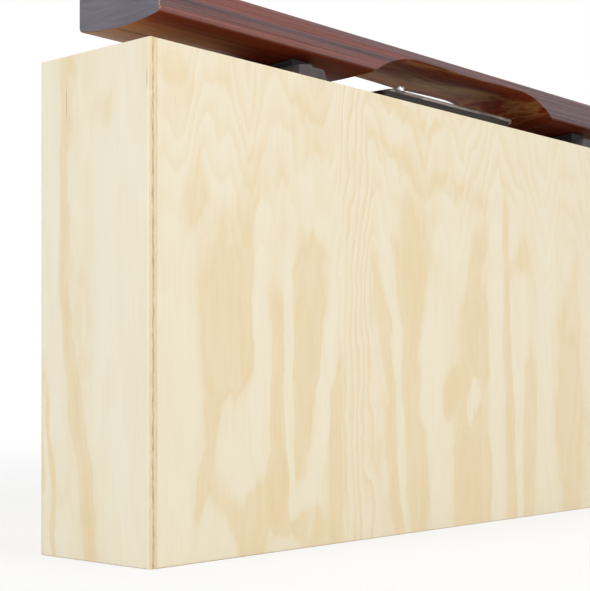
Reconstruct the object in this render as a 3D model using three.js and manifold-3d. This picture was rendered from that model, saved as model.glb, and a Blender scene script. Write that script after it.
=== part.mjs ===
// Contrabass chime bar: one rosewood bar on a tall plywood resonator box.
// Millimetres, +Z up. The origin is at the middle of the box's footprint, on the surface it stands on.
// X runs along the bar, Y through the box. The wide front wall faces -Y.

import * as THREE from "three";
import { mergeVertices } from "three/addons/utils/BufferGeometryUtils.js";
import Module from "manifold-3d";

const wasm = await Module();
wasm.setup();

// Fits and cutting
const fitGap = 0.3;             // gap between a piece and the hole or pocket that holds it
const cutOverrun = 5;           // how far a cutting shape runs past the faces it opens

// Resonator box
const boxLength = 826;
const boxDepth = 122;
const boxHeight = 365;
const wallThickness = 6.5;      // plywood of the four walls and the bottom
const deckThickness = 9;        // plywood of the top, which carries the bar
const cornerRoundShare = 0.85;  // rounding of the upright outer corners, as a share of the wall
const rimRound = 1.5;           // easing of the outer edges along top and bottom
const postSide = 15;            // square glue blocks in the corners
const cleatDepth = 12;          // glued strips under the deck, between the bearers, and on the bottom
const cleatHeight = 15;
const bearerLength = 46;        // cross pieces under the deck, from wall to wall, that hold the pins
const bearerHeight = 24;

// Sound bar
const barLength = 778;
const barWidth = 88;
const barSideHeight = 26;       // height of the flat side, without belly and crown
const barBelly = 4.25;          // how far the rounded underside hangs below the sides
const barCrown = 2;             // how far the top rises above the sides
const barEdgeRound = 3.5;
const barEndRound = 1.5;
const barClearance = 24.25;     // from the deck up to the lower edge of the bar's side
const nodeInset = 170;          // from the bar's end to the line where it doesn't vibrate
const barHoleGap = 1.5;         // between a pin's sleeve and its hole in the bar

// Tuning arch cut into the underside
const archLength = 286;
const archRamp = 66;            // length of each curved end of the arch
const archDepth = 18;           // at mid-length, from the lower edge of the side
const scoopDepth = 19.25;       // in the two scoops next to the ramps
const scoopShare = 0.85;        // length of a scoop, as a share of half the arch's level stretch
const rampLeanShare = 0.42;     // where in the ramp its curve turns flat
const archLean = 2.5;           // how much higher the arch is along the bar's back edge

// Bar supports: a stepped block across the box at each node, with a felt pad let into it
const supportLength = 37;       // along X
const supportWidth = 84;        // along Y
const supportFree = 4;          // room between the bar's belly and the support's tower
const supportTowerLength = 15;
const supportTowerDip = 2.25;   // how much lower the tower is on its outer side
const supportStep = 1.75;       // from the tower down to the shoulder
const supportStepRound = 1.5;   // rounding of its edges, and how far the step down leans
const supportToeLength = 7;     // length of the slanted end that faces the arch
const padLength = 24;
const padMargin = 14;           // support left outside each end of the pad, where a screw stands
const padRecess = 5;            // how deep the pad's seat lies below the tower's top
const padHoleGap = 0.75;        // between a pin's sleeve and its hole in the pad

// Bar pins and their rubber sleeves
const pinRadius = 2.5;
const pinPoint = 4;             // length of the tapered end
const pinGrip = 18;             // how deep a pin stands in its bearer
const pinReach = 5;             // how far a pin stands out of the bar
const sleeveRadius = 4.5;
const sleeveTop = 1.5;          // rubber over the pin's end

// Mouth of the resonator: a raised collar with a clear sliding tuning plate on top
const mouthLength = 96;
const mouthRound = 6;
const collarLength = 204;
const collarWidth = 44;
const collarHeight = 18.25;
const collarWall = 5;           // along each long side of the mouth
const collarRound = 10;
const slideShort = 6;           // how much shorter than the collar the plate is
const slideInset = 0.5;         // how far the plate's long edges stand back from the collar
const slideThickness = 3;
const slideRound = 8;
const slideOffsetShare = 0.45;  // where the plate stands between the middle and its farthest right
const slotMargin = 5.7;         // plate left at each end of a clamp screw's slot

// Clamp screws with washers, in threaded brass inserts: left one in front, right one at the back
const clampInset = 7;           // from a screw's axis to the collar's long edge
const clampShankRadius = 2.5;
const clampHeadRadius = 5.5;
const clampHeadHeight = 3;
const clampGrip = 12;           // shank length below the plate
const clampSlotWidth = 1.25;
const clampSlotDepth = 1.25;
const washerRadius = 6.25;
const washerThickness = 1;
const insertWall = 0.95;        // brass left round the thread
const insertHeight = 10;

// Countersunk wood screws
const screwRadius = 1.75;
const screwHeadRadius = 3.75;
const screwHeadHeight = 2.5;
const screwPoint = 3;
const screwSlotWidth = 1;
const screwSlotDepth = 1;
const collarScrewGrip = 8;      // how deep a collar screw bites into the deck
const collarScrewInset = 7;     // from its axis to the collar's edges
const supportScrewGrip = 12;    // how deep a support screw bites into the bearer

// Sides of round pieces
const roundSides = 24;
const roundSteps = 5;           // steps in a small rounded corner

// Planes that neighbouring pieces share
const boxRight = boxLength / 2;
const boxBack = boxDepth / 2;
const cornerRound = wallThickness * cornerRoundShare;
const innerRight = boxRight - wallThickness;
const innerBack = boxBack - wallThickness;
const floorTop = wallThickness;
const deckBottom = boxHeight - deckThickness;
const barRight = barLength / 2;
const barSideFoot = boxHeight + barClearance;
const barTop = barSideFoot + barSideHeight;
const nodeX = barRight - nodeInset;
const supportTop = barSideFoot - barBelly - supportFree;
const shoulderTop = supportTop - supportStep;
const padSeat = supportTop - padRecess;
const padWidth = supportWidth - 2 * padMargin;
const mouthWidth = collarWidth - 2 * collarWall;
const slideLength = collarLength - slideShort;
const slideWidth = collarWidth - 2 * slideInset;
const collarTop = boxHeight + collarHeight;
const slideTop = collarTop + slideThickness;
const clampX = (mouthLength + slideLength) / 4;
const clampY = collarWidth / 2 - clampInset;
const slotWidth = 2 * (clampShankRadius + fitGap);
const slotLength = (slideLength - mouthLength) / 2 - 2 * slotMargin;
const slideTravel = (slotLength - slotWidth) / 2;
const slideOffset = slideTravel * slideOffsetShare;
const insertRadius = clampShankRadius + fitGap + insertWall;
const insertFoot = collarTop - insertHeight;
const halfTurn = Math.PI;

// Radius of a circular arc of the given width and rise
const arcRadius = (width, rise) => (width * width / 4 + rise * rise) / (2 * rise);
const bellyRadius = arcRadius(barWidth, barBelly);
const crownRadius = arcRadius(barWidth, barCrown);

// Height of the bar's underside at a distance from its middle line
const undersideAt = (y) => barSideFoot - barBelly + bellyRadius - Math.sqrt(bellyRadius ** 2 - y * y);
const topAt = (y) => barTop + barCrown - crownRadius + Math.sqrt(crownRadius ** 2 - y * y);

// Colours and finishes
const finish = (color, roughness, metalness = 0) =>
    new THREE.MeshStandardMaterial({ color, roughness, metalness });
const pinePly = finish(0xecdcb6, 0.55);
const pine = finish(0xe3cb98, 0.7);
const rosewood = finish(0x5e342c, 0.45);
const greyRubber = finish(0x5d585b, 0.7);
const felt = finish(0x1b191a, 0.95);
const blackRubber = finish(0x222222, 0.6);
const blackPlastic = finish(0x25282a, 0.5);
const clearAcrylic = finish(0xdbe6e8, 0.1);
Object.assign(clearAcrylic, { transparent: true, opacity: 0.35 });
const steel = finish(0xc2c4c6, 0.35, 1);
const brass = finish(0xc9a558, 0.35, 1);

// Solids: booleans on closed meshes
function toSolid(geometry) {
    const bare = geometry.clone();
    bare.deleteAttribute("normal");
    bare.deleteAttribute("uv");
    const merged = mergeVertices(bare);
    return new wasm.Manifold(new wasm.Mesh({
        numProp: 3,
        vertProperties: new Float32Array(merged.attributes.position.array),
        triVerts: new Uint32Array(merged.index.array),
    }));
}

function fromSolid(solid) {
    const mesh = solid.getMesh();
    const geometry = new THREE.BufferGeometry();
    geometry.setAttribute("position", new THREE.BufferAttribute(mesh.vertProperties, 3));
    geometry.setIndex(new THREE.BufferAttribute(mesh.triVerts, 1));
    geometry.computeVertexNormals();
    return geometry;
}

function combine(base, others, operation) {
    let solid = toSolid(base);
    for (const other of others) solid = solid[operation](toSolid(other));
    return fromSolid(solid);
}
const cutFrom = (base, ...tools) => combine(base, tools, "subtract");
const common = (base, ...others) => combine(base, others, "intersect");

// Basic shapes, placed where they belong
function block([x0, x1], [y0, y1], [z0, z1]) {
    const geometry = new THREE.BoxGeometry(x1 - x0, y1 - y0, z1 - z0);
    return geometry.translate((x0 + x1) / 2, (y0 + y1) / 2, (z0 + z1) / 2);
}

function rod(radius, z0, z1, x, y) {
    const geometry = new THREE.CylinderGeometry(radius, radius, z1 - z0, roundSides);
    return geometry.rotateX(halfTurn / 2).translate(x, y, (z0 + z1) / 2);
}

// Turned piece about an upright axis: its profile is [radius, height] from the lower to the upper end
function turned(profile, x, y) {
    const points = profile.map(([radius, height]) => new THREE.Vector2(radius, height));
    return new THREE.LatheGeometry(points, roundSides).rotateX(halfTurn / 2).translate(x, y, 0);
}

// Profile of a domed end, from its rim up to the axis
function dome(radius, foot, rise) {
    const steps = Array.from({ length: roundSteps }, (_, index) => index);
    const rim = steps.map((index) => {
        const angle = index / roundSteps * halfTurn / 2;
        return [radius * Math.cos(angle), foot + rise * Math.sin(angle)];
    });
    return [...rim, [0, foot + rise]];
}

// Outline through corners [a, b, round]: a corner with a round is eased by a short curve
function outline(corners) {
    const shape = new THREE.Shape();
    const towards = ([a, b], [c, d], distance) => {
        const share = distance / Math.hypot(c - a, d - b);
        return [a + (c - a) * share, b + (d - b) * share];
    };
    corners.forEach((corner, index) => {
        const before = corners[(index + corners.length - 1) % corners.length];
        const after = corners[(index + 1) % corners.length];
        const [a, b, round = 0] = corner;
        const start = round ? towards(corner, before, round) : [a, b];
        if (index === 0) shape.moveTo(...start);
        else shape.lineTo(...start);
        if (round) shape.quadraticCurveTo(a, b, ...towards(corner, after, round));
    });
    shape.closePath();
    return shape;
}

function rectangle(width, height, round, a = 0, b = 0) {
    const right = width / 2;
    const top = height / 2;
    return outline([
        [a - right, b - top, round],
        [a + right, b - top, round],
        [a + right, b + top, round],
        [a - right, b + top, round],
    ]);
}

// Prisms: the outline's two axes and the axis that it is drawn along
const axisX = new THREE.Vector3(1, 0, 0);
const axisY = new THREE.Vector3(0, 1, 0);
const axisZ = new THREE.Vector3(0, 0, 1);
const turns = {
    x: new THREE.Matrix4().makeBasis(axisY, axisZ, axisX),
    y: new THREE.Matrix4().makeBasis(axisX, axisZ, axisY.clone().negate()),
    z: new THREE.Matrix4(),
};

function prism(axis, shape, from, to, easing = 0) {
    const geometry = new THREE.ExtrudeGeometry(shape, {
        depth: to - from - 2 * easing,
        bevelEnabled: easing > 0,
        bevelThickness: easing,
        bevelSize: easing,
        bevelOffset: -easing,
        bevelSegments: 3,
        curveSegments: roundSteps,
    });
    geometry.translate(0, 0, axis === "y" ? easing - to : from + easing);
    return geometry.applyMatrix4(turns[axis]);
}

// Nodes
const chimeBar = new THREE.Group();
chimeBar.name = "chime_bar";

function addPiece(name, geometry, material) {
    const mesh = new THREE.Mesh(geometry, material);
    mesh.name = name;
    chimeBar.add(mesh);
}

// Each end or side of the object, with the sign that its places take
const ends = [["left", -1], ["right", 1]];
const sides = [["front", -1], ["back", 1]];
const ordered = (a, b) => [Math.min(a, b), Math.max(a, b)];

// Box walls: the end panels run through, the front and back panels stand between them
function endPanel(sign) {
    const plan = outline([
        [sign * innerRight, -boxBack],
        [sign * boxRight, -boxBack, cornerRound],
        [sign * boxRight, boxBack, cornerRound],
        [sign * innerRight, boxBack],
    ]);
    const elevation = outline([
        [sign * innerRight, 0],
        [sign * boxRight, 0, rimRound],
        [sign * boxRight, boxHeight, rimRound],
        [sign * innerRight, boxHeight],
    ]);
    const side = outline([
        [-boxBack, 0, rimRound],
        [boxBack, 0, rimRound],
        [boxBack, boxHeight, rimRound],
        [-boxBack, boxHeight, rimRound],
    ]);
    const [x0, x1] = ordered(sign * innerRight, sign * (boxRight + cutOverrun));
    return common(
        prism("z", plan, 0, boxHeight),
        prism("y", elevation, -boxBack, boxBack),
        prism("x", side, x0, x1),
    );
}

function sidePanel(sign) {
    const section = outline([
        [sign * innerBack, 0],
        [sign * boxBack, 0, rimRound],
        [sign * boxBack, boxHeight, rimRound],
        [sign * innerBack, boxHeight],
    ]);
    return prism("x", section, -innerRight, innerRight);
}

const betweenEnds = [-innerRight, innerRight];
const betweenSides = [-innerBack, innerBack];
for (const [end, sign] of ends) addPiece(`${end}_end_panel`, endPanel(sign), pinePly);
for (const [side, sign] of sides) addPiece(`${side}_panel`, sidePanel(sign), pinePly);
addPiece("bottom_panel", block(betweenEnds, betweenSides, [0, floorTop]), pinePly);

// Holes that a pin or a screw goes through, from one height to another
const pinHole = (sign, z0, z1) => rod(pinRadius + fitGap, z0, z1, sign * nodeX, 0);
const screwHole = (x, y, z0, z1) => rod(screwRadius + fitGap, z0, z1, x, y);
const supportScrewPlaces = (sign) =>
    sides.map(([, way]) => [sign * (nodeX + supportLength / 4), way * (supportWidth - padMargin) / 2]);
const collarScrewPlaces = ends.flatMap(([, sign]) => sides.map(([, way]) =>
    [sign * (collarLength / 2 - collarScrewInset), way * (collarWidth / 2 - collarScrewInset)]));

// Deck with the mouth and the holes for pins and screws
function deck() {
    const through = [deckBottom - cutOverrun, boxHeight + cutOverrun];
    const holes = ends.flatMap(([, sign]) => [
        pinHole(sign, ...through),
        ...supportScrewPlaces(sign).map(([x, y]) => screwHole(x, y, ...through)),
    ]);
    for (const [x, y] of collarScrewPlaces) holes.push(screwHole(x, y, ...through));
    return cutFrom(
        block(betweenEnds, betweenSides, [deckBottom, boxHeight]),
        prism("z", rectangle(mouthLength, mouthWidth, mouthRound), ...through),
        ...holes,
    );
}
addPiece("deck", deck(), pinePly);

// Glue blocks, cleats and bearers inside the box
for (const [end, sign] of ends) {
    for (const [side, way] of sides) {
        addPiece(`${side}_${end}_corner_post`, block(
            ordered(sign * (innerRight - postSide), sign * innerRight),
            ordered(way * (innerBack - postSide), way * innerBack),
            [floorTop, deckBottom],
        ), pine);
    }
}
const postInner = innerRight - postSide;
const bearerInner = nodeX - bearerLength / 2;
const bearerOuter = nodeX + bearerLength / 2;
const deckCleatStretches = [
    ["left", [-postInner, -bearerOuter]],
    ["middle", [-bearerInner, bearerInner]],
    ["right", [bearerOuter, postInner]],
];
for (const [side, way] of sides) {
    const across = ordered(way * (innerBack - cleatDepth), way * innerBack);
    const underDeck = [deckBottom - cleatHeight, deckBottom];
    const onBottom = [floorTop, floorTop + cleatHeight];
    for (const [stretch, along] of deckCleatStretches)
        addPiece(`${side}_${stretch}_deck_cleat`, block(along, across, underDeck), pine);
    addPiece(`${side}_bottom_cleat`, block([-postInner, postInner], across, onBottom), pine);
}
for (const [end, sign] of ends) {
    const along = ordered(sign * bearerInner, sign * bearerOuter);
    const bearer = block(along, betweenSides, [deckBottom - bearerHeight, deckBottom]);
    const top = deckBottom + cutOverrun;
    addPiece(`${end}_bearer`, cutFrom(
        bearer,
        pinHole(sign, deckBottom - pinGrip - fitGap, top),
        ...supportScrewPlaces(sign).map(([x, y]) =>
            screwHole(x, y, deckBottom - supportScrewGrip - fitGap, top)),
    ), pine);
}

// Support block: tower on the outer side, shoulder and slanted toe towards the arch
function support(sign) {
    const outer = sign * (nodeX + supportLength / 2);
    const inner = sign * (nodeX - supportLength / 2);
    const towerEnd = outer - sign * supportTowerLength;
    const section = outline([
        [outer, boxHeight],
        [outer, supportTop - supportTowerDip, supportStepRound],
        [towerEnd, supportTop, supportStepRound],
        [towerEnd - sign * supportStepRound, shoulderTop],
        [inner + sign * supportToeLength, shoulderTop, supportStepRound],
        [inner, boxHeight],
    ]);
    const halfPocketLength = padLength / 2 + fitGap;
    const halfPocketWidth = padWidth / 2 + fitGap;
    const pocket = block(
        [sign * nodeX - halfPocketLength, sign * nodeX + halfPocketLength],
        [-halfPocketWidth, halfPocketWidth],
        [padSeat, barSideFoot],
    );
    const holes = supportScrewPlaces(sign).flatMap(([x, y]) => [
        screwHole(x, y, boxHeight - cutOverrun, barSideFoot),
        rod(screwHeadRadius + fitGap, padSeat - screwHeadHeight, barSideFoot, x, y),
    ]);
    return cutFrom(
        prism("y", section, -supportWidth / 2, supportWidth / 2),
        pocket,
        pinHole(sign, boxHeight - cutOverrun, padSeat + cutOverrun),
        ...holes,
    );
}

// Felt pad: its top follows the bar's rounded underside
function feltPad(sign) {
    const half = padWidth / 2;
    const lift = (y) => undersideAt(y) - fitGap;
    const section = new THREE.Shape();
    section.moveTo(-half, padSeat);
    section.lineTo(half, padSeat);
    section.lineTo(half, lift(half));
    section.quadraticCurveTo(0, 2 * lift(0) - lift(half), -half, lift(half));
    section.closePath();
    return cutFrom(
        prism("x", section, sign * nodeX - padLength / 2, sign * nodeX + padLength / 2),
        rod(sleeveRadius + padHoleGap, padSeat - cutOverrun, barSideFoot, sign * nodeX, 0),
    );
}

// Bar pin: pointed below, with a rubber sleeve from the pad's seat over its top
const pinFoot = deckBottom - pinGrip;
const pinTop = topAt(0) + pinReach;
const sleeveFoot = padSeat + fitGap;
const sleeveHead = pinTop + fitGap + sleeveTop;

function barPin(sign) {
    return turned([
        [0, pinFoot],
        [pinRadius, pinFoot + pinPoint],
        [pinRadius, pinTop],
        [0, pinTop],
    ], sign * nodeX, 0);
}

function pinSleeve(sign) {
    const shoulder = sleeveHead - sleeveTop;
    const body = turned([
        [0, sleeveFoot],
        [sleeveRadius, sleeveFoot],
        ...dome(sleeveRadius, shoulder, sleeveTop),
    ], sign * nodeX, 0);
    const bore = rod(pinRadius + fitGap, sleeveFoot - cutOverrun, shoulder, sign * nodeX, 0);
    return cutFrom(body, bore);
}

// Wood screw with a countersunk slotted head, from its point up to the top of its head
function woodScrew(x, y, foot, top) {
    const body = turned([
        [0, foot],
        [screwRadius, foot + screwPoint],
        [screwRadius, top - screwHeadHeight],
        [screwHeadRadius, top],
        [0, top],
    ], x, y);
    const slot = block(
        [x - screwHeadRadius - cutOverrun, x + screwHeadRadius + cutOverrun],
        [y - screwSlotWidth / 2, y + screwSlotWidth / 2],
        [top - screwSlotDepth, top + cutOverrun],
    );
    return cutFrom(body, slot);
}

for (const [end, sign] of ends) {
    addPiece(`${end}_support`, support(sign), greyRubber);
    supportScrewPlaces(sign).forEach(([x, y], index) =>
        addPiece(`${sides[index][0]}_${end}_support_screw`,
            woodScrew(x, y, deckBottom - supportScrewGrip, padSeat), steel));
    addPiece(`${end}_felt_pad`, feltPad(sign), felt);
    addPiece(`${end}_bar_pin`, barPin(sign), steel);
    addPiece(`${end}_pin_sleeve`, pinSleeve(sign), blackRubber);
}

// Collar round the mouth, screwed to the deck, with a stepped hole for each insert and its screw
function clampHoles(sign) {
    const top = collarTop + cutOverrun;
    return [
        rod(insertRadius + fitGap, insertFoot - fitGap, top, sign * clampX, sign * clampY),
        rod(clampShankRadius + fitGap, collarTop - clampGrip - fitGap, top, sign * clampX, sign * clampY),
    ];
}

function collar() {
    const through = [boxHeight - cutOverrun, collarTop + cutOverrun];
    const screwTop = collarTop - fitGap;
    const holes = collarScrewPlaces.flatMap(([x, y]) => [
        screwHole(x, y, ...through),
        rod(screwHeadRadius + fitGap, screwTop - screwHeadHeight, collarTop + cutOverrun, x, y),
    ]);
    return cutFrom(
        prism("z", rectangle(collarLength, collarWidth, collarRound), boxHeight, collarTop),
        prism("z", rectangle(mouthLength, mouthWidth, mouthRound), ...through),
        ...ends.flatMap(([, sign]) => clampHoles(sign)),
        ...holes,
    );
}
addPiece("mouth_collar", collar(), blackPlastic);
collarScrewPlaces.forEach(([x, y], index) => {
    const screw = woodScrew(x, y, boxHeight - collarScrewGrip, collarTop - fitGap);
    addPiece(`collar_screw_${index + 1}`, screw, steel);
});

// Tuning plate: a window as large as the mouth, and a long slot for each clamp screw
function tuningPlate() {
    const through = [collarTop - cutOverrun, slideTop + cutOverrun];
    const slot = (sign) =>
        rectangle(slotLength, slotWidth, slotWidth / 2, sign * clampX + slideOffset, sign * clampY);
    return cutFrom(
        prism("z", rectangle(slideLength, slideWidth, slideRound, slideOffset, 0), collarTop, slideTop),
        prism("z", rectangle(mouthLength, mouthWidth, mouthRound, slideOffset, 0), ...through),
        ...ends.map(([, sign]) => prism("z", slot(sign), ...through)),
    );
}
addPiece("tuning_plate", tuningPlate(), clearAcrylic);

// Clamps: threaded insert in the collar, washer on the plate, slotted screw
function insert(sign) {
    const bore = clampShankRadius + fitGap;
    return cutFrom(
        rod(insertRadius, insertFoot, collarTop - fitGap, sign * clampX, sign * clampY),
        rod(bore, insertFoot - cutOverrun, collarTop + cutOverrun, sign * clampX, sign * clampY),
    );
}

const washerTop = slideTop + washerThickness;
function washer(sign) {
    const bore = clampShankRadius + fitGap;
    return cutFrom(
        rod(washerRadius, slideTop, washerTop, sign * clampX, sign * clampY),
        rod(bore, slideTop - cutOverrun, washerTop + cutOverrun, sign * clampX, sign * clampY),
    );
}

function clampScrew(sign) {
    const x = sign * clampX;
    const y = sign * clampY;
    const top = washerTop + clampHeadHeight;
    const body = turned([
        [0, collarTop - clampGrip],
        [clampShankRadius, collarTop - clampGrip],
        [clampShankRadius, washerTop],
        [clampHeadRadius, washerTop],
        [clampHeadRadius, washerTop + clampHeadHeight / 2],
        [clampHeadRadius - clampHeadHeight / 4, top],
        [0, top],
    ], x, y);
    const slot = block(
        [x - clampHeadRadius - cutOverrun, x + clampHeadRadius + cutOverrun],
        [y - clampSlotWidth / 2, y + clampSlotWidth / 2],
        [top - clampSlotDepth, top + cutOverrun],
    );
    return cutFrom(body, slot);
}

for (const [end, sign] of ends) {
    addPiece(`${end}_insert`, insert(sign), brass);
    addPiece(`${end}_washer`, washer(sign), steel);
    addPiece(`${end}_clamp_screw`, clampScrew(sign), steel);
}

// Sound bar: rounded belly below, slight crown above, eased edges, arch and pin holes
function barSection() {
    const half = barWidth / 2;
    const eased = half - barEdgeRound;
    const section = new THREE.Shape();
    const steps = 2 * roundSteps;
    section.moveTo(-half, barSideFoot + barEdgeRound);
    section.quadraticCurveTo(-half, barSideFoot, -eased, undersideAt(eased));
    for (let step = 1; step <= steps; step += 1) {
        const y = eased * (2 * step / steps - 1);
        section.lineTo(y, undersideAt(y));
    }
    section.quadraticCurveTo(half, barSideFoot, half, barSideFoot + barEdgeRound);
    section.lineTo(half, barTop - barEdgeRound);
    section.quadraticCurveTo(half, barTop, eased, topAt(eased));
    for (let step = 1; step <= steps; step += 1) {
        const y = eased * (1 - 2 * step / steps);
        section.lineTo(y, topAt(y));
    }
    section.quadraticCurveTo(-half, barTop, -half, barTop - barEdgeRound);
    section.closePath();
    return section;
}

// The ramps of the arch lean on in a straight line below the edge of the bar's side
function archCutter() {
    const half = archLength / 2;
    const below = barBelly + archLean + cutOverrun;
    const lean = archRamp * rampLeanShare;
    const spread = below * lean / scoopDepth;
    const flat = half - archRamp;
    const scoop = flat * scoopShare;
    const shape = new THREE.Shape();
    const foot = barSideFoot;
    shape.moveTo(-half - spread, foot - below);
    shape.lineTo(half + spread, foot - below);
    shape.lineTo(half, foot);
    shape.quadraticCurveTo(half - lean, foot + scoopDepth, flat, foot + scoopDepth);
    shape.quadraticCurveTo(flat - scoop / 2, foot + scoopDepth, flat - scoop, foot + archDepth);
    shape.lineTo(scoop - flat, foot + archDepth);
    shape.quadraticCurveTo(scoop / 2 - flat, foot + scoopDepth, -flat, foot + scoopDepth);
    shape.quadraticCurveTo(lean - half, foot + scoopDepth, -half, foot);
    shape.closePath();
    const tool = prism("y", shape, -barWidth / 2 - cutOverrun, barWidth / 2 + cutOverrun);
    const risen = new THREE.Matrix4().makeShear(0, 0, 0, archLean / barWidth, 0, 0);
    return tool.applyMatrix4(risen).translate(0, 0, archLean / 2);
}

function soundBar() {
    const holes = ends.map(([, sign]) =>
        rod(sleeveRadius + barHoleGap, boxHeight, barTop + barCrown + cutOverrun, sign * nodeX, 0));
    return cutFrom(
        prism("x", barSection(), -barRight, barRight, barEndRound),
        archCutter(),
        ...holes,
    );
}
addPiece("sound_bar", soundBar(), rosewood);

export default chimeBar;
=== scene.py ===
import math

import bmesh
import bpy
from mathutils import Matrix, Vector, noise


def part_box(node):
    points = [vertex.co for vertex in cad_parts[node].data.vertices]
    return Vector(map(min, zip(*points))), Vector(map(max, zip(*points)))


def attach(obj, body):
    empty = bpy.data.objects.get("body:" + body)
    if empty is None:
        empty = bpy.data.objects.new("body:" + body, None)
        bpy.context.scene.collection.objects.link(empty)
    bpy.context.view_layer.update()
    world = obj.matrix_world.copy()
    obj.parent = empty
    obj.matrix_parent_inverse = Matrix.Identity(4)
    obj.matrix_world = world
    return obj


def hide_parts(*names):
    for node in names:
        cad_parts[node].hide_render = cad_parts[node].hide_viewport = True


# Looks of a contrabass chime bar. Metres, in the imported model's own frame: X along the bar,
# Y through the box from its front wall to its back wall, Z up.
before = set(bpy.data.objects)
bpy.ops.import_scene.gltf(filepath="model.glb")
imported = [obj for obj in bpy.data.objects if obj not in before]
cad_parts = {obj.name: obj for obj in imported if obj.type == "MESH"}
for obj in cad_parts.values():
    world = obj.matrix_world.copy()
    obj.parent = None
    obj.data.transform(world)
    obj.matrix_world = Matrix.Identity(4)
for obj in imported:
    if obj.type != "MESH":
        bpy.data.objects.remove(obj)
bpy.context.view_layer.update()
MM = 0.001


def corners(node):
    """Lowest and highest corner of a CAD node at rest."""
    low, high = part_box(node)
    return Vector(low), Vector(high)


# Colours and nodes

def linear(colour):
    """A colour as linear red, green, blue and alpha: an sRGB hex value, or a plain grey from 0 to 1."""
    if isinstance(colour, float):
        return (colour, colour, colour, 1)
    shares = [(colour >> shift & 255) / 255 for shift in (16, 8, 0)]
    curve = [share / 12.92 if share <= 0.04045 else ((share + 0.055) / 1.055) ** 2.4 for share in shares]
    return (*curve, 1)


def entry(node, key):
    """A node's input with this number, or the one in use with this name."""
    if isinstance(key, int):
        return node.inputs[key]
    return next(socket for socket in node.inputs if socket.enabled and socket.name == key)


def result(node):
    """A node's first output that is in use."""
    return next(socket for socket in node.outputs if socket.enabled)


def add(tree, kind, inputs=None, ramp=None, **settings):
    """Adds a node with its settings. An input takes a value, or a node or socket to be linked from.

    By number, a Map Range reads 1 to 2 and gives 3 to 4, and a multiply-add is 0 times 1 plus 2.
    """
    made = tree.nodes.new(kind)
    for key, value in settings.items():
        setattr(made, key, value)
    if ramp:
        stops = made.color_ramp.elements
        stops.remove(stops[1])
        stops[0].position, stops[0].color = ramp[0][0], linear(ramp[0][1])
        for place, colour in ramp[1:]:
            stops.new(place).color = linear(colour)
    for key, value in (inputs or {}).items():
        if isinstance(value, bpy.types.Node):
            value = result(value)
        if isinstance(value, bpy.types.NodeSocket):
            tree.links.new(value, entry(made, key))
        else:
            entry(made, key).default_value = value
    return made


def feed(tree, shader, **sources):
    """Links nodes to a shader's sockets."""
    for name, node in sources.items():
        tree.links.new(result(node), entry(shader, name.replace("_", " ")))


def blend(tree, share, first, second):
    """A colour that goes from the first to the second as the share goes from 0 to 1."""
    return add(tree, "ShaderNodeMix", {"Factor": share, "A": first, "B": second}, data_type="RGBA")


def surface(name, **values):
    """A material with one shader, and the shader's plain values."""
    made = bpy.data.materials.new(name)
    made.use_nodes = True
    tree = made.node_tree
    tree.nodes.clear()
    inputs = {key.replace("_", " "): value for key, value in values.items()}
    shader = add(tree, "ShaderNodeBsdfPrincipled", inputs)
    add(tree, "ShaderNodeOutputMaterial", {"Surface": shader})
    return made, tree, shader


def millimetres(tree, order=(0, 1, 2)):
    """Object coordinates in millimetres, with the axes in the order given."""
    place = add(tree, "ShaderNodeTexCoord")
    scaled = add(tree, "ShaderNodeVectorMath", {0: place.outputs["Object"], 1: (1000, 1000, 1000)},
                 operation="MULTIPLY")
    axes = add(tree, "ShaderNodeSeparateXYZ", {0: scaled})
    reordered = add(tree, "ShaderNodeCombineXYZ",
                    {index: axes.outputs[axis] for index, axis in enumerate(order)})
    return reordered, [axes.outputs[axis] for axis in order]


def facing(tree):
    """The three parts of the surface's normal."""
    normal = add(tree, "ShaderNodeTexCoord").outputs["Normal"]
    return add(tree, "ShaderNodeSeparateXYZ", {0: normal}).outputs


def speckle(tree, place, cell, detail=2.0, offset=(0, 0, 0), rough=0.5, distort=0.0):
    """Noise whose cells measure so many millimetres along each axis. offset: a place in cells."""
    stretched = add(tree, "ShaderNodeMapping",
                    {"Vector": place, "Location": offset, "Scale": tuple(1 / size for size in cell)})
    return add(tree, "ShaderNodeTexNoise", {
        "Vector": stretched, "Scale": 1.0, "Detail": detail, "Roughness": rough, "Distortion": distort})


def relief(tree, shader, height, depth):
    """Bump as deep as so many metres."""
    bump = add(tree, "ShaderNodeBump", {"Height": height, "Distance": depth, "Strength": 1.0})
    feed(tree, shader, Normal=bump)


def spots(tree, across, along, places, start):
    """Adds soft oval spots to a value: place across and along, half width, half length, lean, amount.

    A spot is whole inside full of its half size, and fades out at gone times it.
    """
    full, gone = 0.35, 1.55
    total = start
    for x, z, half_width, half_length, lean, amount in places:
        shift = add(tree, "ShaderNodeMath", {0: along, 1: -lean, 2: lean * z - x},
                    operation="MULTIPLY_ADD")
        shift = add(tree, "ShaderNodeMath", {0: across, 1: shift}, operation="ADD")
        side = add(tree, "ShaderNodeMath", {0: shift, 1: half_width}, operation="DIVIDE")
        rise = add(tree, "ShaderNodeMath", {0: along, 1: 1 / half_length, 2: -z / half_length},
                   operation="MULTIPLY_ADD")
        spot = add(tree, "ShaderNodeCombineXYZ", {0: side, 1: rise})
        distance = add(tree, "ShaderNodeVectorMath", {0: spot}, operation="LENGTH")
        height = add(tree, "ShaderNodeMapRange",
                     {0: distance.outputs["Value"], 1: full, 2: gone, 3: amount, 4: 0.0},
                     interpolation_type="SMOOTHSTEP")
        total = add(tree, "ShaderNodeMath", {0: height, 1: total}, operation="ADD")
    return total


def swayed(tree, veneer, axis, cell, reach, offset):
    """A place along one axis that noise moves by up to half the reach, mm."""
    waver = speckle(tree, veneer, cell, detail=3, rough=0.55, offset=offset)
    middle = add(tree, "ShaderNodeMath", {0: axis, 1: -reach / 2}, operation="ADD")
    return add(tree, "ShaderNodeMath", {0: waver, 1: reach, 2: middle}, operation="MULTIPLY_ADD")


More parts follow.
